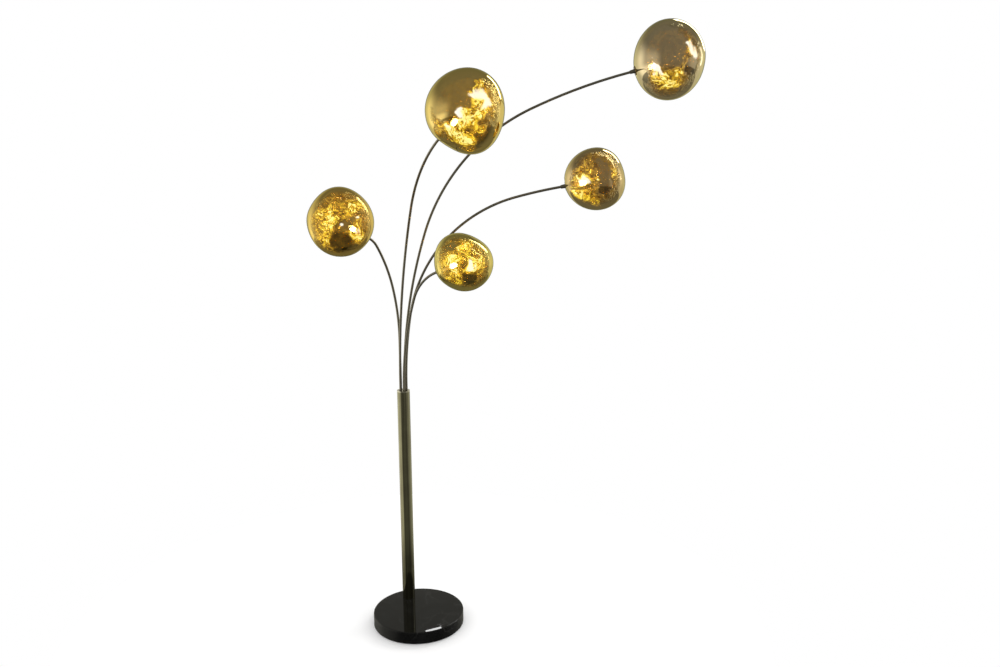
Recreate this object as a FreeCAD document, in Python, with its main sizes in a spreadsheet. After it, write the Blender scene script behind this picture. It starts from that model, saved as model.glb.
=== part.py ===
import FreeCAD, Part
import math
import os
import re
import Sketcher

# A tree floor lamp. A polished pole stands off centre on a round stone base. Five thin tubes
# leave the pole's flat cap, bend outwards, and end in blown globes that are lit from inside.
# Each tube's stem turns in the cap about its own upright axis.
#
# Millimetres. The origin is the centre of the underside, +X right, +Y to the back, +Z up.

V = FreeCAD.Vector
UP = V(0, 0, 1)

doc = FreeCAD.newDocument("tree_floor_lamp")
sheet = doc.addObject("Spreadsheet::Sheet", "Sizes")

SIZES = {
    # stone base on its soft pad; the pole's bearing is its direction from the centre
    "pad_diameter": 290,
    "pad_thickness": 2,
    "base_diameter": 300,
    "base_thickness": 40,
    "base_rounding": 2.5,
    "base_chamfer": 1,
    "pole_offset": 94.4,
    "pole_bearing": 115.75,
    # hidden recess below the pole, and the cable's way out to the rim
    "recess_diameter": 72,
    "recess_depth": 16,
    "cable_height": 11.7,
    "cable_bore": 8,
    "grommet_wall": 2,
    "grommet_lip": 2,
    "grommet_lip_thickness": 2,
    "grommet_clearance": 0.05,
    "spot_clearance": 1,
    # what fastens the pole to the stone
    "gasket_thickness": 1,
    "gasket_bore": 30,
    "plug_height": 18,
    "stud_diameter": 12,
    "stud_bore": 8,
    "stud_tail": 2,
    "stud_engagement": 15,
    "thread_clearance": 0.1,
    "stone_clearance": 1,
    "washer_diameter": 36,
    "washer_thickness": 3,
    "nut_flats": 19,
    "nut_height": 8,
    # junction block beside the stud
    "block_length": 26,
    "block_width": 12,
    "block_height": 11,
    "block_gap": 1.5,
    "block_wire_bore": 3,
    "block_pitch": 8,
    "block_wire_height": 4,
    # pole, cap and the disc that guides the stems inside it
    "pole_diameter": 42,
    "pole_wall": 1.5,
    "pole_length": 736,
    "slip_clearance": 0.05,
    "cap_flange": 4,
    "cap_spigot": 22,
    "guide_depth": 128,
    "guide_thickness": 10,
    "screw_diameter": 4,
    "screw_length": 5,
    "screw_key": 2,
    "screw_key_depth": 2,
    "screw_spread": 35,
    # arm stems: places on the circle, bushes, stop collars and friction washers
    "stem_circle": 21,
    "stem_tail": 10,
    "tube_diameter": 8,
    "tube_wall": 1,
    "tube_straight_end": 16,
    "swivel_clearance": 0.05,
    "bush_diameter": 10,
    "collar_diameter": 11.6,
    "collar_height": 6,
    "collar_clearance": 0.02,
    "spring_washer": 0.5,
    "spring_washer_play": 0.4,
    # what closes the globe's mouth, and the lamp in it
    "ferrule_diameter": 11,
    "ferrule_flare": 13,
    "ferrule_length": 14,
    "mouth_flange": 26,
    "mouth_flange_thickness": 1.2,
    "mouth_spigot": 6,
    "mouth_clearance": 0.2,
    "wire_bore": 6,
    "holder_diameter": 19,
    "holder_length": 20,
    "pin_diameter": 1.5,
    "pin_spacing": 9,
    "pin_length": 6,
    "pin_clearance": 0.25,
    "bulb_diameter": 16,
    "bulb_length": 40,
    "bulb_foot_diameter": 13,
    "bulb_foot_length": 6,
    # globes
    "shade_wall": 2,
    "shade_plate": 3.5,
    "mouth_diameter": 23.6,
    "neck_diameter": 30,
    "neck_height": 14,
    "lump_sharpness": 3.5,
}

# Each arm: its stem's place on the circle and the bearing that it bends to, in degrees; how far it
# rises from the cap before it bends; the radius and the turn of each bend; and its globe: radius,
# the centre's depth past the tube's end and shift across it, and the turn, tilt and height of
# each soft lump, with the tilt counted from the mouth.
ARMS = {
    "left": {
        "station": 144,
        "bearing": 220,
        "rise": 167,
        "bends": ((747, 13.7), (502, 16.7), (72, 29.6)),
        "globe": (105, 99.7, 3),
        "lumps": ((170, 130, 8), (50, 15, -3), (230, 160, -8), (175, 80, -5)),
    },
    "front": {
        "station": 216,
        "bearing": -50,
        "rise": 17,
        "bends": ((2022, 16.7), (384, 42)),
        "globe": (114, 110.9, 5.5),
        "lumps": ((45, 120, -7), (30, 60, 8), (165, 145, 8), (330, 35, -6)),
    },
    "long": {
        "station": 72,
        "bearing": 0,
        "rise": 8,
        "bends": ((1691, 17.4), (631, 47.9), (1762, 10.5)),
        "globe": (114, 110, -5.5),
        "lumps": ((200, 15, -6), (20, 165, -6), (355, 75, 8), (175, 105, 8)),
    },
    "side": {
        "station": 0,
        "bearing": -5,
        "rise": 20,
        "bends": ((1393, 9.7), (469, 65), (1571, 5.3)),
        "globe": (95, 91.8, -2),
        "lumps": ((195, 125, 7), (25, 145, 5), (240, 170, -7), (10, 50, -4)),
    },
    "low": {
        "station": 288,
        "bearing": -28,
        "rise": 8,
        "bends": ((966, 18.2), (144, 50.2)),
        "globe": (90.5, 88.8, 2),
        "lumps": ((245, 50, -4), (80, 135, 5), (165, 135, -8), (180, 75, 8)),
    },
}

for arm, data in ARMS.items():
    SIZES[f"{arm}_station"] = data["station"]
    SIZES[f"{arm}_bearing"] = data["bearing"]
    SIZES[f"{arm}_rise"] = data["rise"]
    for k, (radius, turn) in enumerate(data["bends"], 1):
        SIZES[f"{arm}_bend_{k}"] = radius
        SIZES[f"{arm}_turn_{k}"] = turn
    for word, value in zip(("radius", "depth", "shift"), data["globe"]):
        SIZES[f"{arm}_globe_{word}"] = value
    for k, lump in enumerate(data["lumps"], 1):
        for word, value in zip(("turn", "tilt", "height"), lump):
            SIZES[f"{arm}_lump_{word}_{k}"] = value

for row, (alias, value) in enumerate(SIZES.items(), 1):
    sheet.set(f"A{row}", alias)
    sheet.set(f"B{row}", str(value))
    sheet.setAlias(f"B{row}", alias)
doc.recompute()


def size(alias):
    """The number in the sheet's cell of that name."""
    return float(sheet.get(alias))


def formula(text):
    """An expression on the sheet's cells. Every alias has an underscore in it."""
    return re.sub(r"[a-z]+_\w+", r"Sizes.\g<0>", text)


def worked_out(text):
    """The number that an expression on the sheet comes to."""
    return float(sheet.evalExpression(formula(text)))


def bind(piece, **texts):
    for prop, text in texts.items():
        piece.setExpression(prop, formula(text))
    return piece


def placed(position=V(), turn=0.0, axis=UP):
    return FreeCAD.Placement(position, FreeCAD.Rotation(axis, turn))


# ---- plain solids ----

def cylinder(name, diameter, height, low="0"):
    piece = doc.addObject("Part::Cylinder", name)
    bind(piece, Radius=f"({diameter}) / 2", Height=height)
    piece.setExpression("Placement.Base.z", formula(low))
    return piece


def cut(name, base, tool):
    piece = doc.addObject("Part::Cut", name)
    piece.Base = base
    piece.Tool = tool
    return piece


def fuse(name, *shapes):
    piece = doc.addObject("Part::MultiFuse", name)
    piece.Shapes = list(shapes)
    return piece


def group(name, *shapes):
    piece = doc.addObject("Part::Compound", name)
    piece.Links = list(shapes)
    return piece


def ring(name, outside, inside, height):
    """A flat or tubular ring that stands on its own origin."""
    outer = cylinder(f"{name}_outer", outside, height)
    bore = cylinder(f"{name}_bore", inside, height)
    return cut(name, outer, bore)


# ---- bodies with sketches ----

def body_named(name):
    return doc.addObject("PartDesign::Body", name)


def origin_feature(body, role):
    return [feature for feature in body.Origin.OriginFeatures if feature.Role == role][0]


def sketch_on(body, name, role, offset="0"):
    sketch = body.newObject("Sketcher::SketchObject", name)
    sketch.AttachmentSupport = [(origin_feature(body, role), "")]
    sketch.MapMode = "FlatFace"
    sketch.setExpression("AttachmentOffset.Base.z", formula(offset))
    return sketch


def constrain(sketch, text, kind, *where):
    """A driving constraint whose value follows the sheet. An angle's text is in degrees."""
    start = worked_out(text)
    if kind == "Angle":
        start = math.radians(start)
        text = f"({text}) * 1 deg"
    index = sketch.addConstraint(Sketcher.Constraint(kind, *where, start))
    sketch.setExpression(f"Constraints[{index}]", formula(text))


def circle(sketch, diameter, along_x=None, along_y=None):
    """A circle on the sketch's origin, or at a distance along one of its axes."""
    start = V(worked_out(along_x or "0"), worked_out(along_y or "0"), 0)
    index = sketch.addGeometry(Part.Circle(start, UP, worked_out(diameter) / 2))
    if along_x:
        sketch.addConstraint(Sketcher.Constraint("PointOnObject", index, 3, -1))
        constrain(sketch, along_x, "DistanceX", -1, 1, index, 3)
    elif along_y:
        sketch.addConstraint(Sketcher.Constraint("PointOnObject", index, 3, -2))
        constrain(sketch, along_y, "DistanceY", -1, 1, index, 3)
    else:
        sketch.addConstraint(Sketcher.Constraint("Coincident", index, 3, -1, 1))
    constrain(sketch, diameter, "Diameter", index)


def pad(body, sketch, name, length):
    feature = body.newObject("PartDesign::Pad", name)
    feature.Profile = sketch
    return bind(feature, Length=length)


def pocket(body, sketch, name, length, forward=False):
    """Cuts against the sketch's normal, or along it where forward is set."""
    feature = body.newObject("PartDesign::Pocket", name)
    feature.Profile = sketch
    feature.Reversed = forward
    return bind(feature, Length=length)


def round_the_stem_circle(body, feature):
    """Repeats a feature at the five places of the stems."""
    pattern = body.newObject("PartDesign::PolarPattern", "around")
    pattern.Originals = [feature]
    pattern.Axis = (origin_feature(body, "Z_Axis"), [""])
    pattern.Angle = 360
    pattern.Occurrences = len(ARMS)
    body.Tip = pattern


def circular_edge(shape, height, diameter):
    """The name of the round edge at that height with that diameter."""
    for number, edge in enumerate(shape.Edges, 1):
        curve = edge.Curve
        if not isinstance(curve, Part.Circle):
            continue
        if abs(curve.Center.z - height) < 0.01 and abs(2 * curve.Radius - diameter) < 0.01:
            return f"Edge{number}"
    raise ValueError("no such edge")


# ---- the places that the pieces share ----

STONE_TOP = "(pad_thickness + base_thickness)"
RECESS_TOP = "(pad_thickness + recess_depth)"
POLE_FOOT = f"({STONE_TOP} + gasket_thickness)"
POLE_TOP = f"({POLE_FOOT} + pole_length)"
CAP_TOP = f"({POLE_TOP} + cap_flange)"
POLE_BORE = "(pole_diameter - 2 * pole_wall)"
SLIP_DIAMETER = f"({POLE_BORE} - 2 * slip_clearance)"
SWIVEL_BORE = "(tube_diameter + 2 * swivel_clearance)"


bearing = math.radians(size("pole_bearing"))
POLE_AXIS = V(math.cos(bearing), math.sin(bearing), 0) * size("pole_offset")


def on_pole(piece, low="0"):
    """Stands a piece on the pole's axis, at that height."""
    piece.Placement = placed(POLE_AXIS + UP * worked_out(low), size("pole_bearing"))
    return piece


def stem_foot(arm):
    """The stem's axis in the plane of the cap's top."""
    station = math.radians(size(f"{arm}_station"))
    out = V(math.cos(station), math.sin(station), 0) * (size("stem_circle") / 2)
    return POLE_AXIS + out + UP * worked_out(CAP_TOP)


# ---- stone base ----

def make_base_pad():
    return cylinder("base_pad", "pad_diameter", "pad_thickness")


def make_marble_base():
    """The disc lies with its X axis through the pole, and the cable leaves along that axis."""
    body = body_named("marble_base")
    outline = sketch_on(body, "outline", "XY_Plane", "pad_thickness")
    circle(outline, "base_diameter")
    pad(body, outline, "disc", "base_thickness")
    doc.recompute()
    rounding = body.newObject("PartDesign::Fillet", "rim")
    rounding.Base = (body.getObject("disc"), [circular_edge(
        body.Shape, worked_out(STONE_TOP), size("base_diameter"))])
    bind(rounding, Radius="base_rounding")
    doc.recompute()
    chamfer = body.newObject("PartDesign::Chamfer", "foot_edge")
    chamfer.Base = (rounding, [circular_edge(
        body.Shape, size("pad_thickness"), size("base_diameter"))])
    bind(chamfer, Size="base_chamfer")
    recess = sketch_on(body, "recess_outline", "XY_Plane", "pad_thickness")
    circle(recess, "recess_diameter", along_x="pole_offset")
    pocket(body, recess, "recess", "recess_depth", forward=True)
    hole = sketch_on(body, "stud_outline", "XY_Plane", "pad_thickness")
    circle(hole, "stud_diameter + 2 * stone_clearance", along_x="pole_offset")
    pocket(body, hole, "stud_hole", "base_thickness", forward=True)
    bore = sketch_on(body, "cable_outline", "YZ_Plane", "pole_offset")
    circle(bore, "cable_bore + 2 * grommet_wall + 2 * grommet_clearance", along_y="cable_height")
    pocket(body, bore, "cable_way", "base_diameter / 2", forward=True)
    spot = sketch_on(body, "spot_outline", "YZ_Plane", "base_diameter / 2 - spot_clearance")
    circle(spot, "cable_bore + 2 * grommet_wall + 2 * grommet_lip + spot_clearance",
           along_y="cable_height")
    pocket(body, spot, "spot_face", "base_diameter / 2", forward=True)
    body.Placement = placed(turn=size("pole_bearing"))
    return body


def make_cable_grommet():
    """A bush with a lip, from the recess to the flat on the rim."""
    way = "(base_diameter / 2 - spot_clearance - pole_offset - recess_diameter / 2 + grommet_wall)"
    sleeve = cylinder("grommet_sleeve", "cable_bore + 2 * grommet_wall",
                      f"{way} + grommet_lip_thickness", f"-{way}")
    lip = cylinder("grommet_rim", "cable_bore + 2 * grommet_wall + 2 * grommet_lip",
                   "grommet_lip_thickness")
    bore = cylinder("grommet_bore", "cable_bore", f"{way} + grommet_lip_thickness", f"-{way}")
    grommet = cut("cable_grommet", fuse("grommet_body", sleeve, lip), bore)
    rim = V(math.cos(bearing), math.sin(bearing), 0) * worked_out("base_diameter / 2 - spot_clearance")
    facing = FreeCAD.Rotation(UP, size("pole_bearing")) * FreeCAD.Rotation(V(0, 1, 0), 90)
    grommet.Placement = FreeCAD.Placement(rim + UP * size("cable_height"), facing)
    return grommet


# ---- what fastens the pole ----

def make_foot():
    gasket = ring("foot_gasket", "pole_diameter", "gasket_bore", "gasket_thickness")
    plug = ring("foot_plug", SLIP_DIAMETER, "stud_diameter + 2 * thread_clearance", "plug_height")
    washer = ring("foot_washer", "washer_diameter", "stud_diameter + 2 * thread_clearance",
                  "washer_thickness")
    below = f"({RECESS_TOP} - washer_thickness - nut_height - stud_tail)"
    stud = ring("foot_stud", "stud_diameter", "stud_bore",
                f"{POLE_FOOT} + stud_engagement - {below}")
    hexagon = doc.addObject("Part::Prism", "nut_hexagon")
    hexagon.Polygon = 6
    bind(hexagon, Circumradius="nut_flats / sqrt(3)", Height="nut_height")
    thread = cylinder("nut_thread", "stud_diameter + 2 * thread_clearance", "nut_height")
    nut = cut("foot_nut", hexagon, thread)
    return [
        on_pole(gasket, STONE_TOP),
        on_pole(plug, POLE_FOOT),
        on_pole(washer, f"{RECESS_TOP} - washer_thickness"),
        on_pole(stud, below),
        on_pole(nut, f"{RECESS_TOP} - washer_thickness - nut_height"),
    ]


def make_terminal_block():
    """Three poles in a row, screwed flat to the recess beside the washer."""
    body = body_named("terminal_block")
    outline = sketch_on(body, "outline", "XY_Plane")
    corners = [V(-1, -1, 0), V(1, -1, 0), V(1, 1, 0), V(-1, 1, 0)]
    for k in range(4):
        outline.addGeometry(Part.LineSegment(corners[k], corners[(k + 1) % 4]))
        outline.addConstraint(Sketcher.Constraint("Horizontal" if k % 2 == 0 else "Vertical", k))
    for k in range(4):
        outline.addConstraint(Sketcher.Constraint("Coincident", k, 2, (k + 1) % 4, 1))
    outline.addConstraint(Sketcher.Constraint("Symmetric", 0, 1, 2, 1, -1, 1))
    constrain(outline, "block_width", "DistanceX", 0, 1, 0, 2)
    constrain(outline, "block_length", "DistanceY", 1, 1, 1, 2)
    pad(body, outline, "block", "block_height")
    wire = sketch_on(body, "wire_outline", "YZ_Plane", "-block_width / 2")
    circle(wire, "block_wire_bore", along_y="block_height - block_wire_height")
    way = pocket(body, wire, "wire_way", "block_width", forward=True)
    pattern = body.newObject("PartDesign::MultiTransform", "poles")
    pattern.Originals = [way]
    body.Tip = pattern
    steps = []
    for word, reverse in (("nearer", False), ("farther", True)):
        step = body.newObject("PartDesign::LinearPattern", word)
        step.Direction = (origin_feature(body, "Y_Axis"), [""])
        step.Reversed = reverse
        step.Occurrences = 2
        bind(step, Length="block_pitch")
        steps.append(step)
    pattern.Transformations = steps
    body.Tip = pattern
    aside = worked_out("washer_diameter / 2 + block_gap + block_width / 2")
    out = V(-math.cos(bearing), -math.sin(bearing), 0) * aside
    low = worked_out(f"{RECESS_TOP} - block_height")
    body.Placement = placed(POLE_AXIS + out + UP * low, size("pole_bearing"))
    return body


# ---- pole ----

def screw_places():
    """The grub screws sit on the pole's back, two in the cap's spigot and two in the guide disc."""
    cap = worked_out(f"{POLE_TOP} - cap_spigot / 2")
    guide = worked_out(f"{CAP_TOP} - guide_depth - guide_thickness / 2")
    for height in (cap, guide):
        for side in (-1, 1):
            yield height, 90 + side * size("screw_spread")


def across_pole(piece, height, angle):
    """Turns an upright piece to lie radially, with its origin on the pole's skin, pointing in."""
    way = math.radians(angle)
    skin = V(math.cos(way), math.sin(way), 0) * (size("pole_diameter") / 2)
    inwards = FreeCAD.Rotation(UP, angle) * FreeCAD.Rotation(V(0, 1, 0), -90)
    piece.Placement = FreeCAD.Placement(POLE_AXIS + skin + UP * height, inwards)
    return piece


def screw_holes(name, clearance):
    holes = []
    for k, (height, angle) in enumerate(screw_places()):
        hole = cylinder(f"{name}_{k}", f"screw_diameter + 2 * {clearance}",
                        "screw_length + 2 * pole_wall", "0")
        hole.setExpression("Placement.Base.z", None)
        across_pole(hole, height, angle)
        holes.append(hole)
    return fuse(name, *holes)


def make_pole_tube():
    blank = on_pole(ring("pole_blank", "pole_diameter", POLE_BORE, "pole_length"), POLE_FOOT)
    return cut("pole_tube", blank, screw_holes("pole_screw_holes", "thread_clearance"))


def stem_bores(body, diameter, depth):
    sketch = sketch_on(body, "bore_outline", "XY_Plane")
    circle(sketch, diameter, along_x="stem_circle / 2")
    feature = pocket(body, sketch, "bore", depth, forward=True)
    round_the_stem_circle(body, feature)


def make_pole_cap():
    """A flange as wide as the pole on a spigot that slips into it."""
    body = body_named("pole_cap_blank")
    spigot = sketch_on(body, "spigot_outline", "XY_Plane")
    circle(spigot, SLIP_DIAMETER)
    pad(body, spigot, "spigot", "cap_spigot")
    flange = sketch_on(body, "flange_outline", "XY_Plane", "cap_spigot")
    circle(flange, "pole_diameter")
    pad(body, flange, "flange", "cap_flange")
    stem_bores(body, "bush_diameter", "cap_spigot + cap_flange")
    body.Placement = placed(POLE_AXIS + UP * worked_out(f"{POLE_TOP} - cap_spigot"))
    return cut("pole_cap", body, screw_holes("cap_screw_holes", "thread_clearance"))


def make_guide_disc():
    body = body_named("guide_disc_blank")
    outline = sketch_on(body, "outline", "XY_Plane")
    circle(outline, SLIP_DIAMETER)
    pad(body, outline, "disc", "guide_thickness")
    stem_bores(body, SWIVEL_BORE, "guide_thickness")
    low = worked_out(f"{CAP_TOP} - guide_depth - guide_thickness")
    body.Placement = placed(POLE_AXIS + UP * low)
    return cut("guide_disc", body, screw_holes("guide_screw_holes", "thread_clearance"))


def make_grub_screws():
    screws = []
    for k, (height, angle) in enumerate(screw_places()):
        shank = cylinder(f"screw_shank_{k}", "screw_diameter", "screw_length")
        key = doc.addObject("Part::Prism", f"screw_key_{k}")
        key.Polygon = 6
        bind(key, Circumradius="screw_key / sqrt(3)", Height="screw_key_depth")
        screws.append(across_pole(cut(f"screw_{k}", shank, key), height, angle))
    return group("grub_screws", *screws)


def make_stem_bushes():
    bushes = []
    for arm in ARMS:
        bush = ring(f"{arm}_bush", "bush_diameter", SWIVEL_BORE, "cap_spigot + cap_flange")
        drop = UP * worked_out("cap_spigot + cap_flange")
        bush.Placement = placed(stem_foot(arm) - drop)
        bushes.append(bush)
    return group("stem_bushes", *bushes)


def make_friction_washers():
    washers = []
    for arm in ARMS:
        washer = ring(f"{arm}_washer", "collar_diameter", "tube_diameter + spring_washer_play",
                      "spring_washer")
        washer.Placement = placed(stem_foot(arm) - UP * size("guide_depth"))
        washers.append(washer)
    return group("friction_washers", *washers)


# ---- arms ----

def bend_arcs(arm):
    """Each bend as centre, radius and angles in the arm's own plane, and then the tube's end.

    The arm's plane has X along its bearing and Y up, from the cap's top on the stem's axis.
    """
    across, height, lean = 0.0, size(f"{arm}_rise"), 0.0
    arcs = []
    for k in range(1, len(ARMS[arm]["bends"]) + 1):
        radius = size(f"{arm}_bend_{k}")
        turn = math.radians(size(f"{arm}_turn_{k}"))
        centre = V(across + radius * math.cos(lean), height - radius * math.sin(lean), 0)
        arcs.append((centre, radius, math.pi - lean - turn, math.pi - lean))
        lean += turn
        across = centre.x - radius * math.cos(lean)
        height = centre.y + radius * math.sin(lean)
    onwards = V(math.sin(lean), 0, math.cos(lean)) * size("tube_straight_end")
    return arcs, V(across, 0, height) + onwards, math.degrees(lean)


def arm_frame(arm):
    return placed(stem_foot(arm), size(f"{arm}_bearing"))


def tip_frame(arm):
    """The frame of the globe's mouth: origin at the tube's end, Z straight on out of the tube."""
    arcs, end, lean = bend_arcs(arm)
    return arm_frame(arm).multiply(placed(end, lean, V(0, 1, 0)))


def make_arm_tube(arm):
    """A tube swept along its straight stem and the tangent bends that follow it."""
    body = body_named(f"{arm}_arm_tube")
    path = sketch_on(body, f"{arm}_path", "XZ_Plane")
    tail = "(guide_depth + guide_thickness + stem_tail)"
    stem = path.addGeometry(Part.LineSegment(V(0, -worked_out(tail), 0), V(0, size(f"{arm}_rise"), 0)))
    path.addConstraint(Sketcher.Constraint("PointOnObject", stem, 1, -2))
    path.addConstraint(Sketcher.Constraint("Vertical", stem))
    constrain(path, tail, "DistanceY", stem, 1, -1, 1)
    constrain(path, f"{arm}_rise", "DistanceY", -1, 1, stem, 2)
    before, end_of_before = stem, 2
    for k, (centre, radius, low, high) in enumerate(bend_arcs(arm)[0], 1):
        bend = path.addGeometry(Part.ArcOfCircle(Part.Circle(centre, UP, radius), low, high))
        path.addConstraint(Sketcher.Constraint("Tangent", before, end_of_before, bend, 2))
        constrain(path, f"{arm}_bend_{k}", "Radius", bend)
        constrain(path, f"{arm}_turn_{k}", "Angle", bend)
        before, end_of_before = bend, 1
    last = path.getPoint(before, 1)
    end = bend_arcs(arm)[1]
    run = path.addGeometry(Part.LineSegment(last, V(end.x, end.z, 0)))
    path.addConstraint(Sketcher.Constraint("Tangent", before, 1, run, 1))
    constrain(path, "tube_straight_end", "Distance", run)
    section = sketch_on(body, f"{arm}_section", "XY_Plane", f"-{tail}")
    circle(section, "tube_diameter")
    circle(section, "tube_diameter - 2 * tube_wall")
    sweep = body.newObject("PartDesign::AdditivePipe", f"{arm}_sweep")
    sweep.Profile = section
    sweep.Spine = path
    body.Placement = arm_frame(arm)
    return body


def make_stem_collar(arm):
    """A ring soldered to the stem, which rests on the friction washer and the guide disc."""
    collar = ring(f"{arm}_stem_collar", "collar_diameter", "tube_diameter + 2 * collar_clearance",
                  "collar_height")
    collar.Placement = placed(stem_foot(arm) - UP * worked_out("guide_depth - spring_washer"))
    return collar


def make_shade_cap(arm):
    """A flared ferrule on the tube's end, a thin flange on the mouth and a spigot in it."""
    flare = doc.addObject("Part::Cone", f"{arm}_flare")
    bind(flare, Radius1="ferrule_diameter / 2", Radius2="ferrule_flare / 2", Height="ferrule_length")
    flare.setExpression("Placement.Base.z", formula("-ferrule_length - mouth_flange_thickness"))
    flange = cylinder(f"{arm}_flange", "mouth_flange", "mouth_flange_thickness",
                      "-mouth_flange_thickness")
    spigot = cylinder(f"{arm}_spigot", "mouth_diameter - 2 * mouth_clearance", "mouth_spigot")
    socket = cylinder(f"{arm}_socket", "tube_diameter + 2 * collar_clearance",
                      "ferrule_length + mouth_flange_thickness",
                      "-ferrule_length - mouth_flange_thickness")
    wires = cylinder(f"{arm}_wires", "wire_bore", "mouth_spigot")
    cap = cut(f"{arm}_shade_cap", fuse(f"{arm}_cap_body", flare, flange, spigot),
              fuse(f"{arm}_cap_bores", socket, wires))
    cap.Placement = tip_frame(arm)
    return cap


def pins(name, diameter, length, low):
    pair = []
    for side in (-1, 1):
        pin = cylinder(f"{name}_{side + 1}", diameter, length, low)
        pin.setExpression("Placement.Base.x", formula(f"{side} * pin_spacing / 2"))
        pair.append(pin)
    return pair


def make_lampholder(arm):
    """A ceramic holder on the spigot's end, with two pin sockets."""
    block = cylinder(f"{arm}_holder", "holder_diameter", "holder_length", "mouth_spigot")
    sockets = pins(f"{arm}_sockets", "pin_diameter + 2 * pin_clearance", "pin_length + pin_clearance",
                   "mouth_spigot + holder_length - pin_length - pin_clearance")
    holder = cut(f"{arm}_lampholder", block, fuse(f"{arm}_socket_pair", *sockets))
    holder.Placement = tip_frame(arm)
    return holder


def make_bulb(arm):
    """A capsule lamp on a narrower foot with two pins."""
    seat = "mouth_spigot + holder_length"
    foot = cylinder(f"{arm}_bulb_foot", "bulb_foot_diameter", "bulb_foot_length", seat)
    glass = cylinder(f"{arm}_bulb_glass", "bulb_diameter",
                     "bulb_length - bulb_foot_length - bulb_diameter / 2",
                     f"{seat} + bulb_foot_length")
    dome = doc.addObject("Part::Sphere", f"{arm}_bulb_dome")
    bind(dome, Radius="bulb_diameter / 2")
    dome.setExpression("Placement.Base.z", formula(f"{seat} + bulb_length - bulb_diameter / 2"))
    legs = pins(f"{arm}_legs", "pin_diameter", "pin_length", f"{seat} - pin_length")
    bulb = fuse(f"{arm}_bulb", foot, glass, dome, *legs)
    bulb.Placement = tip_frame(arm)
    return bulb


# ---- blown globes ----

# The skin is drawn through half circles round the mouth's axis, with this many spans along each, and
# is cut into gores of so many columns.
COLUMNS = 12
ROWS = 8
GORE = 3


def direction(turn, tilt):
    """A unit vector: turn goes round the mouth's axis, tilt goes up from the mouth."""
    return V(math.sin(tilt) * math.cos(turn), math.sin(tilt) * math.sin(turn), -math.cos(tilt))


def skin_point(arm, turn, tilt, inset):
    """A point of the globe's skin: a sphere with soft lumps and dents, less the inset."""
    way = direction(turn, tilt)
    reach = size(f"{arm}_globe_radius") - inset
    for k in range(1, len(ARMS[arm]["lumps"]) + 1):
        lump = direction(math.radians(size(f"{arm}_lump_turn_{k}")),
                         math.radians(size(f"{arm}_lump_tilt_{k}")))
        near = math.exp(size("lump_sharpness") * (way.dot(lump) - 1))
        reach += size(f"{arm}_lump_height_{k}") * near
    return V(size(f"{arm}_globe_shift"), 0, size(f"{arm}_globe_depth")) + way * reach


def closed_curve(points):
    curve = Part.BSplineCurve()
    steps = [float(k) for k in range(len(points) + 1)]
    curve.interpolate(Points=points, PeriodicFlag=True, Parameters=steps)
    return curve


def skin_surface(arm, inset):
    """One smooth surface through great circles that all pass the mouth and the far pole."""
    columns = []
    for i in range(COLUMNS):
        turn = 2 * math.pi * i / COLUMNS
        loop = [skin_point(arm, turn, math.pi * j / ROWS, inset) for j in range(2 * ROWS)]
        half = closed_curve(loop)
        half.segment(0.0, float(ROWS))
        columns.append(half)
    net = []
    for k in range(1, columns[0].NbPoles + 1):
        row = [half.getPole(k) for half in columns]
        at_pole = k in (1, columns[0].NbPoles)
        net.append([row[0]] * COLUMNS if at_pole else closed_curve(row).getPoles())
    surface = Part.BSplineSurface()
    surface.buildFromPolesMultsKnots(
        [[row[i] for row in net] for i in range(COLUMNS)],
        [1] * (COLUMNS + 1), columns[0].getMultiplicities(),
        [float(k) for k in range(COLUMNS + 1)], columns[0].getKnots(),
        True, False, 3, 3)
    return surface


def skin_solid(arm, inset):
    """The skin as gores between the two poles, closed into a solid."""
    whole = skin_surface(arm, inset)
    gores = []
    for left in range(0, COLUMNS, GORE):
        for low in (0, ROWS // 2):
            gore = whole.copy()
            gore.segment(float(left), float(left + GORE), float(low), float(low + ROWS // 2))
            gores.append(gore.toShape().Faces[0])
    solid = Part.Solid(Part.makeShell(gores))
    if solid.Volume < 0:
        solid.reverse()
    return solid


def make_shade(arm):
    """A thin-walled globe with a flat, thicker plate round its mouth and a short neck there."""
    radius = size(f"{arm}_globe_radius")
    neck = Part.makeCylinder(size("neck_diameter") / 2, size("neck_height"))
    outside = Part.makeCylinder(radius, radius, UP * -radius)
    below_plate = Part.makeCylinder(radius, radius, UP * (size("shade_plate") - radius))
    mouth = Part.makeCylinder(size("mouth_diameter") / 2, 2 * radius, UP * -radius)
    cavity = skin_solid(arm, size("shade_wall")).cut(below_plate)
    shell = skin_solid(arm, 0).fuse(neck).cut(outside).cut(cavity).cut(mouth)
    if len(shell.Solids) != 1:
        raise RuntimeError(f"the {arm} globe is not one piece")
    shade = doc.addObject("Part::Feature", f"{arm}_shade")
    shade.Shape = shell.Solids[0]
    shade.Placement = tip_frame(arm)
    return shade


# ---- the lamp, put together ----

nodes = [make_base_pad(), make_marble_base(), make_cable_grommet()]
nodes += make_foot()
nodes += [make_terminal_block(), make_pole_tube(), make_pole_cap(), make_guide_disc()]
nodes += [make_grub_screws(), make_stem_bushes(), make_friction_washers()]
for arm in ARMS:
    nodes += [make_arm_tube(arm), make_stem_collar(arm), make_shade_cap(arm)]
    nodes += [make_lampholder(arm), make_bulb(arm), make_shade(arm)]
doc.recompute()

for feature in doc.Objects:
    if "Invalid" in feature.State or "Error" in feature.State:
        raise RuntimeError(f"{feature.Label} failed: {feature.State}")
for node in nodes:
    if node.Shape.isNull() or not node.Shape.isValid() or not node.Shape.Solids:
        raise RuntimeError(f"{node.Label} has no valid shape")

os.makedirs("parts", exist_ok=True)
for node in nodes:
    node.Shape.exportStep(f"parts/{node.Label}.step")
    print(f"{node.Label:22s} {len(node.Shape.Solids)} solids {node.Shape.Volume / 1000:9.2f} cm3")
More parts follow.
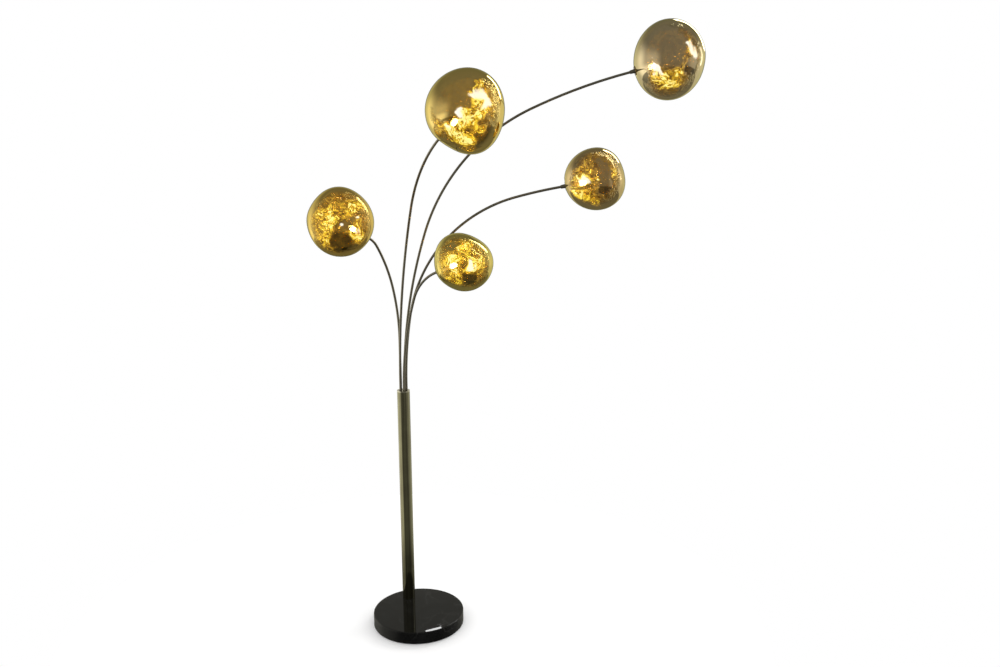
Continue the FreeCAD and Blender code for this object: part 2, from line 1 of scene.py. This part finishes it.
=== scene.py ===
"""Tree floor lamp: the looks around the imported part.

Sections follow the lamp as it is put together, from floor to globes.
"""

import math

import bpy
from mathutils import Matrix, Vector


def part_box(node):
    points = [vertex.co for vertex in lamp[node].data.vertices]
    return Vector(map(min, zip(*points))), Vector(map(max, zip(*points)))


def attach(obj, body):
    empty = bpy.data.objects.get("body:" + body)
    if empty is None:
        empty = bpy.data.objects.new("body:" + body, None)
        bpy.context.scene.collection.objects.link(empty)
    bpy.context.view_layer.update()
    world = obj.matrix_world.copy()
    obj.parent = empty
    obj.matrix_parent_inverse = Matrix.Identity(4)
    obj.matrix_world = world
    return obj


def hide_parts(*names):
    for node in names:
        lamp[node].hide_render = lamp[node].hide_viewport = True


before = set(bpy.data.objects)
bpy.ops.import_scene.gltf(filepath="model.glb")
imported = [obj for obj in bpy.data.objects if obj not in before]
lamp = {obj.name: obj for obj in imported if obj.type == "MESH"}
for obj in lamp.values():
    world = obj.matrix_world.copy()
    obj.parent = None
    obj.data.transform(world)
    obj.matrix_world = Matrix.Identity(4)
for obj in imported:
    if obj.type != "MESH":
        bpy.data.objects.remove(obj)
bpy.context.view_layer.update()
bpy.ops.object.select_all(action="DESELECT")
scene = bpy.context.scene


# The camera. It stands as the photograph was taken: 2.8 m in front of the lamp, a little to its right,
# at 1.56 m, looking slightly down, and turned by the third of a degree that the frame shows.
eye = bpy.data.cameras.new("eye")
eye.lens = 32.4
eye.sensor_width = 36.0
eye.clip_start, eye.clip_end = 0.05, 60.0
camera = bpy.data.objects.new("eye", eye)
scene.collection.objects.link(camera)
look_down, frame_turn = 11.52, -0.29
camera.matrix_world = (
    Matrix.Translation((0.2782, -2.7835, 1.556))
    @ Matrix.Rotation(math.radians(90 - look_down), 4, "X")
    @ Matrix.Rotation(math.radians(frame_turn), 4, "Z")
)
scene.camera = camera
scene.view_settings.view_transform = "Standard"


# The studio. A round sheet of white paper under the lamp, in a room that is white to the eye. The polished
# metal and the globes mirror something dimmer: a floor and walls that are dark in front, pale at the left and
# behind, under a dim ceiling. Two soft boxes light the right rims, and a small strip glints on the stone.
class Socket:
    """One output of a node in a material. Sums on it add Math nodes, and node() adds any other node."""

    def __init__(self, tree, output):
        self.tree, self.output = tree, output

    def node(self, kind, settings, values, output=0):
        """Adds a node with these settings and input values, and gives the output asked for."""
        made = self.tree.nodes.new("ShaderNode" + kind)
        for name, setting in settings.items():
            if name == "stops":
                ramp = made.color_ramp
                while len(ramp.elements) < len(setting):
                    ramp.elements.new(1.0)
                for stop, (place, colour) in zip(ramp.elements, setting):
                    stop.position = place
                    stop.color = (*colour, 1.0)
            else:
                setattr(made, name, setting)
        for name, value in values.items():
            if isinstance(value, Socket):
                self.tree.links.new(value.output, made.inputs[name])
            elif isinstance(value, tuple) and len(value) == 3 and made.inputs[name].type == "RGBA":
                made.inputs[name].default_value = (*value, 1.0)
            else:
                made.inputs[name].default_value = value
        return Socket(self.tree, made.outputs[output])

    def sum_of(self, operation, *values):
        return self.node("Math", {"operation": operation}, dict(enumerate(values)))

    def between(self, low, high):
        """This value between low and high, as 0 to 1, with soft ends."""
        return self.node(
            "MapRange", {"interpolation_type": "SMOOTHSTEP"}, {"Value": self, "From Min": low, "From Max": high}
        )

    def colours(self, low, high):
        """Colour low where this value is 0, and high where it is 1."""
        return self.node("Mix", {"data_type": "RGBA"}, {0: self, 6: low, 7: high}, 2)

    def __add__(self, other):
        return self.sum_of("ADD", self, other)

    def __sub__(self, other):
        return self.sum_of("SUBTRACT", self, other)

    def __rsub__(self, other):
        return self.sum_of("SUBTRACT", other, self)

    def __mul__(self, other):
        return self.sum_of("MULTIPLY", self, other)

    __radd__ = __add__


def new_finish(name, **steady):
    """A material with one Principled shader, its steady values set.

    Returns the material, its shader and the coordinates that stay with the piece.
    """
    material = bpy.data.materials.new(name)
    material.use_nodes = True
    tree = material.node_tree
    tree.nodes.clear()
    place = Socket(tree, None).node("TexCoord", {}, {}, "Object")
    shader = tree.nodes.new("ShaderNodeBsdfPrincipled")
    for socket, value in steady.items():
        full = (*value, 1.0) if isinstance(value, tuple) else value
        shader.inputs[socket.replace("_", " ")].default_value = full
    out = tree.nodes.new("ShaderNodeOutputMaterial")
    tree.links.new(shader.outputs[0], out.inputs["Surface"])
    return material, shader, place


def lead(socket, shader, name):
    """Leads a socket into the shader's input of that name."""
    socket.tree.links.new(socket.output, shader.inputs[name])


def finish_node(name, material):
    """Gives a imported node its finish."""
    lamp[name].material_slots[0].material = material


def stretched_noise(place, scale, detail):
    """Noise with a scale of its own along each axis, so that it runs in streaks or rings."""
    stretched = place.node("Mapping", {}, {"Vector": place, "Scale": scale})
    return place.node("TexNoise", {}, {"Vector": stretched, "Scale": 1.0, "Detail": detail})


room = bpy.data.worlds.new("room")
scene.world = room
room.use_nodes = True
room.node_tree.nodes.clear()
air = Socket(room.node_tree, None)
way = air.node("TexCoord", {}, {}, "Generated")
across, depth, height = (air.node("SeparateXYZ", {}, {0: way}, axis) for axis in range(3))
left, right = across.between(-0.55, -0.92), across.between(0.70, 0.97)
behind = depth.between(0.05, 0.60)
underfoot, overhead = height.between(-0.395, -0.445), height.between(0.05, 0.60)
floor = (0.16 + left * 0.95 + right * 0.30 + behind * 0.50) * (1 - underfoot * 0.72)
walls = 0.19 + (left * 0.38 + right * 0.30 + behind * 0.62) * (1 - overhead)
glow = floor + height.between(-0.28, -0.06) * (walls - floor)
mirrored = air.node("LightPath", {}, {}, "Is Glossy Ray")
seen = {
    "Color": mirrored.colours((1.0, 1.0, 1.0), (1.0, 0.98, 0.85)),
    "Strength": 1 + mirrored * (glow - 1),
}
background = air.node("Background", {}, seen)
room_out = room.node_tree.nodes.new("ShaderNodeOutputWorld")
room.node_tree.links.new(background.output, room_out.inputs["Surface"])

bpy.ops.mesh.primitive_circle_add(vertices=96, radius=1.15, fill_type="NGON", location=(0, 0, 0))
paper = bpy.context.object
paper.name = "paper"
paper.visible_glossy = False
white_paper, shader, place = new_finish(
    "white_paper", Roughness=0.9, Specular_IOR_Level=0.1, Emission_Color=(1.0, 1.0, 1.0), Emission_Strength=0.07
)
grain = place.node("TexNoise", {}, {"Vector": place, "Scale": 900.0, "Detail": 2.0})
lead(grain.between(0.2, 0.8).colours((0.94, 0.94, 0.94), (0.97, 0.97, 0.97)), shader, "Base Color")
paper.data.materials.append(white_paper)


def soft_box(name, place, aim, width, tall, glare, roll):
    """A rectangular lamp of that width and height, aimed at a point and rolled by degrees, as bright as glare."""
    box = bpy.data.lights.new(name, "AREA")
    box.shape, box.size, box.size_y = "RECTANGLE", width, tall
    box.energy = glare * math.pi * width * tall
    hung = bpy.data.objects.new(name, box)
    scene.collection.objects.link(hung)
    hung.visible_camera = False
    facing = (Vector(aim) - Vector(place)).to_track_quat("-Z", "Y").to_matrix().to_4x4()
    hung.matrix_world = Matrix.Translation(place) @ facing @ Matrix.Rotation(math.radians(roll), 4, "Z")


soft_box("box_behind", (1.97, 2.07, 2.97), (0.4, 0.0, 1.6), width=0.42, tall=1.7, glare=9.0, roll=-35.0)
soft_box("box_right", (2.8, 0.9, 2.0), (0.7, 0.0, 1.8), width=0.30, tall=1.2, glare=2.0, roll=12.0)
soft_box("strip_behind", (-0.15, 2.40, 1.485), (0.04, -0.14, 0.042), width=0.10, tall=0.012, glare=8.0, roll=11.0)

# The base pad. A soft black disc glued under the stone, so that it neither scratches the floor nor slips.
black_felt, shader, place = new_finish("black_felt", Roughness=0.95, Specular_IOR_Level=0.2)
nap = place.node("TexNoise", {}, {"Vector": place, "Scale": 1400.0, "Detail": 3.0})
lead(nap.between(0.3, 0.7).colours((0.012, 0.012, 0.012), (0.035, 0.034, 0.033)), shader, "Base Color")
lead(place.node("Bump", {}, {"Strength": 0.5, "Distance": 0.0003, "Height": nap}), shader, "Normal")
for name in ("base_pad", "foot_gasket"):
    finish_node(name, black_felt)

# The base. A disc of black marble, sawn, ground and polished until it mirrors the pole, with its top rim
# rounded over. Thin grey veins and flecks lie in the stone, so faint that it looks plain from a few steps away.
polished_stone, shader, place = new_finish("polished_stone", IOR=1.5)
drift = place.node("TexNoise", {}, {"Vector": place, "Scale": 7.0, "Detail": 5.0, "Roughness": 0.6}, "Color")
bent = place.node("VectorMath", {"operation": "MULTIPLY_ADD"}, {0: drift, 1: (0.16, 0.16, 0.16), 2: place})
vein = place.node("TexVoronoi", {"feature": "DISTANCE_TO_EDGE"}, {"Vector": bent, "Scale": 8.5})
thread = 1 - vein.between(0.0, 0.018)
patch = place.node("TexNoise", {}, {"Vector": place, "Scale": 13.0, "Detail": 2.0})
fleck = place.node("TexVoronoi", {}, {"Vector": place, "Scale": 320.0})
speck = (1 - fleck.between(0.03, 0.10)) * patch.between(0.45, 0.6)
cloud = place.node("TexNoise", {}, {"Vector": bent, "Scale": 16.0, "Detail": 6.0, "Roughness": 0.65})
body = cloud.between(0.35, 0.75).colours((0.003, 0.003, 0.003), (0.0065, 0.0065, 0.0065))
veined = (thread * patch.between(0.42, 0.62) * 0.30).colours(body, (0.055, 0.054, 0.052))
lead((speck * 0.35).colours(veined, (0.045, 0.045, 0.044)), shader, "Base Color")
lead(0.006 + thread * 0.04 + cloud * 0.014, shader, "Roughness")
finish_node("marble_base", polished_stone)

# The cable grommet. A black nylon bush pushed into the stone's cable hole, moulded, with a fine spark texture.
black_nylon, shader, place = new_finish("black_nylon", Roughness=0.5)
spark_grain_and_painted_highlight = place.node("TexNoise", {}, {"Vector": place, "Scale": 2200.0, "Detail": 2.0})
lead(spark_grain_and_painted_highlight.between(0.3, 0.7).colours((0.016, 0.016, 0.017), (0.03, 0.03, 0.031)), shader, "Base Color")
lead(0.42 + spark_grain_and_painted_highlight * 0.2, shader, "Roughness")
lead(place.node("Bump", {}, {"Strength": 0.35, "Distance": 0.0001, "Height": spark_grain_and_painted_highlight}), shader, "Normal")
for name in ("cable_grommet", "stem_bushes"):
    finish_node(name, black_nylon)

# The foot. A steel insert in the pole, a hollow stud through the stone, and a washer and nut in the recess
# under it, all bright zinc plated and turned, next to the white terminal block.
zinc, shader, place = new_finish("zinc_plated_steel", Metallic=1.0)
turned = stretched_noise(place, (30.0, 30.0, 2600.0), 2.0)
lead(turned.between(0.3, 0.7).colours((0.50, 0.51, 0.53), (0.68, 0.69, 0.70)), shader, "Base Color")
lead(0.24 + turned * 0.16, shader, "Roughness")
lead(place.node("Bump", {}, {"Strength": 0.25, "Distance": 0.00005, "Height": turned}), shader, "Normal")
for name in ("foot_plug", "foot_stud", "foot_washer", "foot_nut", "grub_screws", "friction_washers"):
    finish_node(name, zinc)
white_nylon, shader, place = new_finish("white_nylon", Subsurface_Weight=0.05)
mould = place.node("TexNoise", {}, {"Vector": place, "Scale": 1500.0, "Detail": 2.0})
lead(mould.between(0.3, 0.7).colours((0.70, 0.68, 0.63), (0.80, 0.79, 0.75)), shader, "Base Color")
lead(0.38 + mould * 0.15, shader, "Roughness")
for name in ("terminal_block", "guide_disc"):
    finish_node(name, white_nylon)

# The pole. A brass tube, turned and buffed to a mirror, then plated in a dark smoky gold. The buffing wheel
# ran along it, so the gloss is a little softer in faint long streaks, with a few cloudy finger marks.
pole_gold, shader, place = new_finish("pole_gold", Metallic=1.0)
streak = stretched_noise(place, (420.0, 420.0, 5.0), 3.0)
band = stretched_noise(place, (150.0, 150.0, 2.5), 2.0)
marks = place.node("TexNoise", {}, {"Vector": place, "Scale": 14.0, "Detail": 4.0, "Roughness": 0.6})
tone = (band * 0.75 + marks * 0.25).between(0.34, 0.66)
lead(tone.colours((0.195, 0.175, 0.115), (0.335, 0.325, 0.205)), shader, "Base Color")
lead(0.045 + marks.between(0.5, 0.75) * 0.07 + streak * 0.03, shader, "Roughness")
lead(place.node("Bump", {}, {"Strength": 0.06, "Distance": 0.0002, "Height": streak}), shader, "Normal")
finish_node("pole_tube", pole_gold)

# The pole's cap. A spun brass lid with five holes, polished and a lighter gold than the pole, the lightness
# partly painted highlight that brightens its top rim.
cap_gold_lightened_for_highlight, shader, place = new_finish("cap_gold_lightened_for_highlight", Metallic=1.0)
spun = place.node("TexNoise", {}, {"Vector": place, "Scale": 160.0, "Detail": 4.0})
lead(spun.between(0.3, 0.7).colours((0.50, 0.47, 0.36), (0.62, 0.59, 0.47)), shader, "Base Color")
lead(0.10 + spun * 0.12, shader, "Roughness")
finish_node("pole_cap", cap_gold_lightened_for_highlight)

# The arms. Thin brass tubes, each bent on two or three formers in one smooth line, polished and plated in the
# pole's smoky gold. A collar is soldered on low in the pole, and a spun ferrule on the end holds the globe.
arm_gold, shader, place = new_finish("arm_gold", Metallic=1.0)
rub = place.node("TexNoise", {}, {"Vector": place, "Scale": 9.0, "Detail": 3.0})
lead(rub.between(0.3, 0.7).colours((0.285, 0.262, 0.205), (0.345, 0.320, 0.255)), shader, "Base Color")
lead(0.34 + rub * 0.10, shader, "Roughness")
tube_radius, tube_wall, weld = 0.004, 0.001, 0.00001
stem_foot, cap_top, straight_end = 0.635, 0.783, 0.016
pole_middle, stem_ring = Vector((-0.04101, 0.08503, 0.0)), 0.0105
upright = Vector((0, 0, 1))
# Each arm: its place in the ring of stems and its bearing in degrees, how far it rises from the cap before its
# first bend, and its bends, each a radius and an angle in degrees.
bending = {
    "left": (144, 220, 0.167, ((0.747, 13.7), (0.502, 16.7), (0.072, 29.6))),
    "front": (216, -50, 0.017, ((2.022, 16.7), (0.384, 42.0))),
    "long": (72, 0, 0.008, ((1.691, 17.4), (0.631, 47.9), (1.762, 10.5))),
    "side": (0, -5, 0.020, ((1.393, 9.7), (0.469, 65.0), (1.571, 5.3))),
    "low": (288, -28, 0.008, ((0.966, 18.2), (0.144, 50.2))),
}
for arm, (station, bearing, rise, bends) in bending.items():
    turn = math.radians(station)
    foot = pole_middle + stem_ring * Vector((math.cos(turn), math.sin(turn), 0.0))
    out = Vector((math.cos(math.radians(bearing)), math.sin(math.radians(bearing)), 0.0))
    side = upright.cross(out)
    bpy.ops.mesh.primitive_circle_add(vertices=48, radius=tube_radius, location=foot + stem_foot * upright)
    tube = bpy.context.object
    tube.name = f"{arm}_tube"
    bpy.ops.object.transform_apply(location=True, rotation=True, scale=True)
    bpy.ops.object.mode_set(mode="EDIT")
    bpy.ops.mesh.select_all(action="SELECT")
    bpy.ops.mesh.extrude_region_move(TRANSFORM_OT_translate={"value": (0, 0, cap_top + rise - stem_foot)})
    end, lean = foot + (cap_top + rise) * upright, 0.0
    for radius, angle in bends:
        centre = end + radius * (math.cos(lean) * out - math.sin(lean) * upright)
        bpy.ops.mesh.spin(steps=max(6, round(angle * 0.9)), angle=-math.radians(angle), center=centre, axis=side)
        lean += math.radians(angle)
        end = centre - radius * (math.cos(lean) * out - math.sin(lean) * upright)
    onwards = straight_end * (math.sin(lean) * out + math.cos(lean) * upright)
    bpy.ops.mesh.extrude_region_move(TRANSFORM_OT_translate={"value": onwards})
    bpy.ops.mesh.select_all(action="SELECT")
    bpy.ops.mesh.remove_doubles(threshold=weld)
    bpy.ops.mesh.normals_make_consistent(inside=False)
    bpy.ops.object.mode_set(mode="OBJECT")
    first = tube.data.polygons[0]
    if first.normal.dot(first.center - foot - first.center.z * upright) < 0:
        tube.data.flip_normals()
    wall = tube.modifiers.new("wall", "SOLIDIFY")
    wall.thickness, wall.offset = tube_wall, -1.0
    bpy.ops.object.modifier_apply(modifier="wall")
    bpy.ops.object.shade_smooth_by_angle(angle=math.radians(40))
    tube.data.materials.append(arm_gold)
    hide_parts(f"{arm}_arm_tube")
    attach(tube, f"{arm}_arm")
    for piece in ("stem_collar", "shade_cap"):
        finish_node(f"{arm}_{piece}", arm_gold)
    bpy.ops.object.select_all(action="DESELECT")

# The lampholders. White glazed ceramic with two pin holes, pushed into the ferrule's spigot.
ceramic, shader, place = new_finish("ceramic", Coat_Roughness=0.08)
glaze = place.node("TexNoise", {}, {"Vector": place, "Scale": 240.0, "Detail": 3.0})
lead(glaze.between(0.35, 0.65).colours((0.76, 0.74, 0.70), (0.84, 0.83, 0.80)), shader, "Base Color")
lead(0.28 + glaze * 0.2, shader, "Roughness")
lead(glaze * 0.3 + 0.3, shader, "Coat Weight")

for arm in bending:
    finish_node(f"{arm}_lampholder", ceramic)

# The lamps. Small frosted glass capsules on a pin foot, white-hot at the tip, where the light sits, and warmer
# and dimmer towards the foot.
heart_ahead = 0.012
for arm in bending:
    lamp_glass, shader, place = new_finish(f"{arm}_lamp_glass", Roughness=0.4, Emission_Strength=60.0)
    low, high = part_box(f"{arm}_bulb")
    cap_low, cap_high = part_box(f"{arm}_shade_cap")
    heart = (low + high) / 2
    heart = heart + heart_ahead * (heart - (cap_low + cap_high) / 2).normalized()
    near = place.node("VectorMath", {"operation": "DISTANCE"}, {0: place, 1: tuple(heart)}, "Value")
    frost = place.node("TexNoise", {}, {"Vector": place, "Scale": 90.0, "Detail": 3.0})
    cooler = (near + frost * 0.006).between(0.013, 0.020)
    lead(cooler.colours((1.0, 0.92, 0.74), (0.030, 0.016, 0.004)), shader, "Emission Color")
    lead(frost.between(0.3, 0.7).colours((0.9, 0.85, 0.75), (0.95, 0.92, 0.86)), shader, "Base Color")
    finish_node(f"{arm}_bulb", lamp_glass)

# The globes. Each was blown by hand, so no two have the same lumps. The wall is clear, with a thin gold film
# on it. The smooth outside mirrors the room, most where the film is calm and at its rim. The amber glow of the
# lamp's light thrown to and fro in the crumpled film is painted glow, an emission pattern, with painted shade in
# its dark creases and painted highlights at its white-hot places.
# Each globe: its film's gold, the strength of its painted glow, the places of painted glow (right, up, size,
# strength), the calm places where the film mirrors more and the painted glow is left out (right, up, size), and
# its painted highlights, the white-hot places (right, up, size), all in the globe's radii as seen from the front
# of the lamp, where the camera stands.
front_of_lamp = Vector((0.2782, -2.7835, 1.556))
globes = {
    "left": (
        (0.80, 0.55, 0.17), 0.76,
        ((-0.45, 0.38, 0.30, 1.1), (-0.28, 0.10, 0.26, 1.0), (0.42, 0.55, 0.30, 0.95), (0.62, -0.12, 0.24, 1.0),
         (-0.42, -0.42, 0.36, 0.8), (0.0, 0.45, 0.5, 0.6), (-0.72, 0.0, 0.3, 0.7)),
        ((0.15, -0.62, 0.46), (0.28, -0.02, 0.24)),
        ((-0.42, 0.30, 0.09), (0.10, -0.05, 0.11), (0.60, 0.03, 0.08)),
    ),
    "front": (
        (0.82, 0.61, 0.22), 0.98,
        ((0.32, 0.50, 0.32, 1.2), (0.46, 0.10, 0.32, 1.3), (-0.10, -0.12, 0.20, 1.3), (-0.46, -0.32, 0.32, 1.2),
         (-0.20, -0.40, 0.40, 0.95), (0.15, 0.0, 0.30, 0.8), (-0.15, -0.66, 0.30, 0.6)),
        ((-0.45, 0.40, 0.66), (0.62, -0.55, 0.42), (0.0, 0.85, 0.40)),
        ((0.40, 0.42, 0.20), (0.54, 0.12, 0.20), (-0.12, -0.14, 0.14), (-0.50, -0.38, 0.12)),
    ),
    "long": (
        (0.72, 0.59, 0.38), 0.84,
        ((0.50, 0.25, 0.30, 1.15), (-0.22, -0.22, 0.20, 1.3), (0.05, -0.50, 0.34, 0.95), (0.25, -0.20, 0.30, 0.6),
         (-0.30, -0.55, 0.25, 0.7)),
        ((-0.20, 0.48, 0.72), (-0.80, -0.05, 0.45), (0.60, -0.25, 0.30)),
        ((-0.24, -0.24, 0.12), (0.62, 0.18, 0.22), (0.46, 0.30, 0.14)),
    ),
    "side": (
        (0.66, 0.49, 0.26), 0.62,
        ((-0.40, -0.02, 0.26, 1.3), (0.10, 0.02, 0.14, 1.1), (-0.62, -0.50, 0.34, 0.9), (-0.20, -0.72, 0.36, 0.8),
         (-0.30, 0.50, 0.30, 0.6), (0.66, 0.35, 0.26, 0.9), (0.25, 0.55, 0.2, 0.6)),
        ((0.28, 0.30, 0.28), (0.50, -0.20, 0.36), (-0.80, 0.20, 0.36)),
        ((-0.36, -0.04, 0.14), (0.10, 0.0, 0.07)),
    ),
    "low": (
        (0.78, 0.62, 0.20), 0.68,
        ((-0.18, -0.06, 0.20, 1.35), (0.28, 0.10, 0.24, 1.3), (-0.48, -0.20, 0.46, 0.95), (-0.20, -0.50, 0.40, 0.85),
         (0.62, 0.15, 0.36, 0.9), (0.05, 0.60, 0.26, 0.8), (0.25, -0.15, 0.2, 0.8)),
        ((0.42, -0.55, 0.36), (-0.40, 0.55, 0.26)),
        ((-0.22, -0.08, 0.11), (0.22, 0.04, 0.10), (0.02, 0.55, 0.08)),
    ),
}


def spot_on_front(middle, radius, right, up):
    """The point of a globe's front that stands so many radii right of its middle and above it."""
    sight = (middle - front_of_lamp).normalized()
    across = sight.cross(upright).normalized()
    above = across.cross(sight)
    return middle + radius * (right * across + up * above - math.sqrt(1 - right * right - up * up) * sight)


def patch_on(place, spot, wide, soft):
    """1 within a patch round a spot, and 0 outside it, with an edge that soft."""
    near = place.node("VectorMath", {"operation": "DISTANCE"}, {0: place, 1: tuple(spot)}, "Value")
    return 1 - near.between((1 - soft) * wide, (1 + soft) * wide)


def film_finish(material, shader, clear, share):
    """Lets light through a finish: share is how much of it the film sends back, and clear the glass's tint."""
    tree = material.node_tree
    film = Socket(tree, None)
    glass = film.node("BsdfTransparent", {}, {"Color": clear})
    film = film.node("MixShader", {}, {0: share, 1: glass, 2: Socket(tree, shader.outputs[0])})
    tree.links.new(film.output, tree.nodes["Material Output"].inputs["Surface"])
    return film


for arm, (gold, painted_glow_strength, painted_glow_places, calm_places, painted_highlight_places) in globes.items():
    globe = bpy.data.objects.new(f"{arm}_globe", lamp[f"{arm}_shade"].data.copy())
    scene.collection.objects.link(globe)
    globe.select_set(True)
    bpy.context.view_layer.objects.active = globe
    bpy.ops.object.mode_set(mode="EDIT")
    bpy.ops.mesh.select_all(action="SELECT")
    bpy.ops.mesh.remove_doubles(threshold=weld)
    bpy.ops.object.mode_set(mode="OBJECT")
    bpy.ops.mesh.customdata_custom_splitnormals_clear()
    bpy.ops.object.shade_smooth_by_angle(angle=math.radians(50))
    globe.select_set(False)
    low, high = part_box(f"{arm}_shade")
    middle, radius = (low + high) / 2, sum(high - low) / 6

    # The coat's emission is painted glow for the lamp's light thrown to and fro in the film, with painted
    # highlights.
    coat, shader, place = new_finish(
        f"{arm}_globe_coat_painted_glow", Metallic=1.0, Roughness=0.03, Specular_Tint=(0.82, 0.84, 0.58), Emission_Strength=1.1
    )
    edge = place.node("LayerWeight", {}, {"Blend": 0.5}, "Facing")
    bend = Vector((0.15, 0.15, 0.15))
    drawn = bend / 2  # how far the warp moves a place on average
    warp = place.node("TexNoise", {}, {"Vector": place, "Scale": 13.0, "Detail": 3.0}, "Color")
    crumple = place.node("VectorMath", {"operation": "MULTIPLY_ADD"}, {0: warp, 1: tuple(bend), 2: place})
    swirl = place.node("TexNoise", {}, {"Vector": crumple, "Scale": 34.0, "Detail": 3.0, "Distortion": 1.8})
    fine = place.node("TexNoise", {}, {"Vector": crumple, "Scale": 80.0, "Detail": 2.0, "Distortion": 1.5})
    crease = place.node("TexVoronoi", {"feature": "DISTANCE_TO_EDGE"}, {"Vector": crumple, "Scale": 26.0})
    cloud = place.node("TexNoise", {}, {"Vector": place, "Scale": 9.0, "Detail": 1.0})
    calm, painted_glow, spark_grain_and_painted_highlight = 0.0, 0.20 + cloud.between(0.50, 0.66) * 0.45, 0.0
    # Calm places, where the painted glow is left out and the film mirrors more.
    for right, up, wide in calm_places:
        spot = spot_on_front(middle, radius, right, up) + drawn
        calm = calm + patch_on(crumple, spot, wide * radius, 0.22)
    # Pools of painted glow round the places listed.
    for right, up, wide, strength in painted_glow_places:
        spot = spot_on_front(middle, radius, right, up) + drawn
        painted_glow = painted_glow + patch_on(crumple, spot, wide * radius, 0.35) * strength * 0.85
    # White-hot spots in the emission: painted highlights.
    for right, up, wide in painted_highlight_places:
        spot = spot_on_front(middle, radius, right, up) + drawn
        spark_grain_and_painted_highlight = spark_grain_and_painted_highlight + patch_on(crumple, spot, wide * radius, 0.30)
    calm = place.sum_of("MINIMUM", calm, 1.0)
    # Along the creases the folds are low, so the painted glow and the gold are darker there: painted shade.
    creased = 0.30 + crease.between(0.01, 0.06) * 0.70
    folds = (swirl.between(0.42, 0.58) * 0.6 + fine.between(0.42, 0.58) * 0.4) * creased
    # The painted glow is left out in the calm places and towards the rim.
    painted_glow_mask = (1 - calm * 0.85) * (1 - edge.between(0.36, 0.66) * 0.85)
    painted_glow_level = painted_glow * painted_glow_strength * (0.14 + folds * 0.92) * painted_glow_mask
    painted_glow_colour = painted_glow_level.node(
        "ValToRGB",
        {
            "stops": [
                (0.0, (0.0, 0.0, 0.0)),
                (0.18, (0.050, 0.026, 0.001)),
                (0.36, (0.260, 0.145, 0.004)),
                (0.56, (0.640, 0.410, 0.008)),
                (0.78, (0.980, 0.740, 0.050)),
                (1.0, (1.0, 0.960, 0.350)),
            ]
        },
        {0: painted_glow_level},
    )
    lead(spark_grain_and_painted_highlight.colours(painted_glow_colour, (1.0, 0.99, 0.86)), shader, "Emission Color")
    # The gold is darkened to 0.42 of itself where the folds are low: painted shade in the creases.
    crease_shade_free = place.sum_of("MAXIMUM", place.sum_of("MAXIMUM", calm, folds), edge.between(0.30, 0.55))
    lead(crease_shade_free.colours(tuple(0.42 * part for part in gold), gold), shader, "Base Color")
    relief = folds * (1 - calm) * (1 - edge.between(0.30, 0.60))
    lead(place.node("Bump", {}, {"Strength": 0.5, "Distance": 0.006, "Height": relief}), shader, "Normal")
    share = place.sum_of("MINIMUM", 0.74 + calm * 0.2 + edge.between(0.25, 0.55) * 0.26, 1.0)
    film = film_finish(coat, shader, (1.0, 0.90, 0.62), share)
    # A dark diffuse line where the globe is seen edge-on, along its outline: painted shade.
    painted_dark_outline = place.node("BsdfDiffuse", {}, {"Color": (0.11, 0.105, 0.065)})
    painted_dark_outline = film.node("MixShader", {}, {0: edge.between(0.76, 0.90) * 0.85, 1: film, 2: painted_dark_outline})
    coat.node_tree.links.new(painted_dark_outline.output, coat.node_tree.nodes["Material Output"].inputs["Surface"])

    # The inner film's amber emission in swirls is painted glow, standing in for the lamp's light thrown about inside
    # the globe.
    inner, shader, place = new_finish(f"{arm}_globe_film_painted_glow", Metallic=1.0, Roughness=0.12, Emission_Strength=0.7)
    swirl = place.node("TexNoise", {}, {"Vector": place, "Scale": 30.0, "Detail": 3.0, "Distortion": 1.8})
    lead(swirl.between(0.40, 0.60).colours((0.45, 0.30, 0.10), (0.95, 0.76, 0.34)), shader, "Base Color")
    lead(swirl.between(0.38, 0.64).colours((0.06, 0.03, 0.002), (1.0, 0.72, 0.10)), shader, "Emission Color")
    lead(place.node("Bump", {}, {"Strength": 0.8, "Distance": 0.010, "Height": swirl}), shader, "Normal")
    film_finish(inner, shader, (1.0, 0.84, 0.45), 0.55)

    globe.data.materials.clear()
    globe.data.materials.append(coat)
    globe.data.materials.append(inner)
    for face in globe.data.polygons:
        face.material_index = int((face.center - middle).dot(face.normal) < 0)
    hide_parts(f"{arm}_shade")
    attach(globe, f"{arm}_arm")

# Light crosses the skins of several globes, and is thrown to and fro inside each.
scene.cycles.transparent_max_bounces = 24
scene.cycles.glossy_bounces = 10
scene.cycles.max_bounces = 16
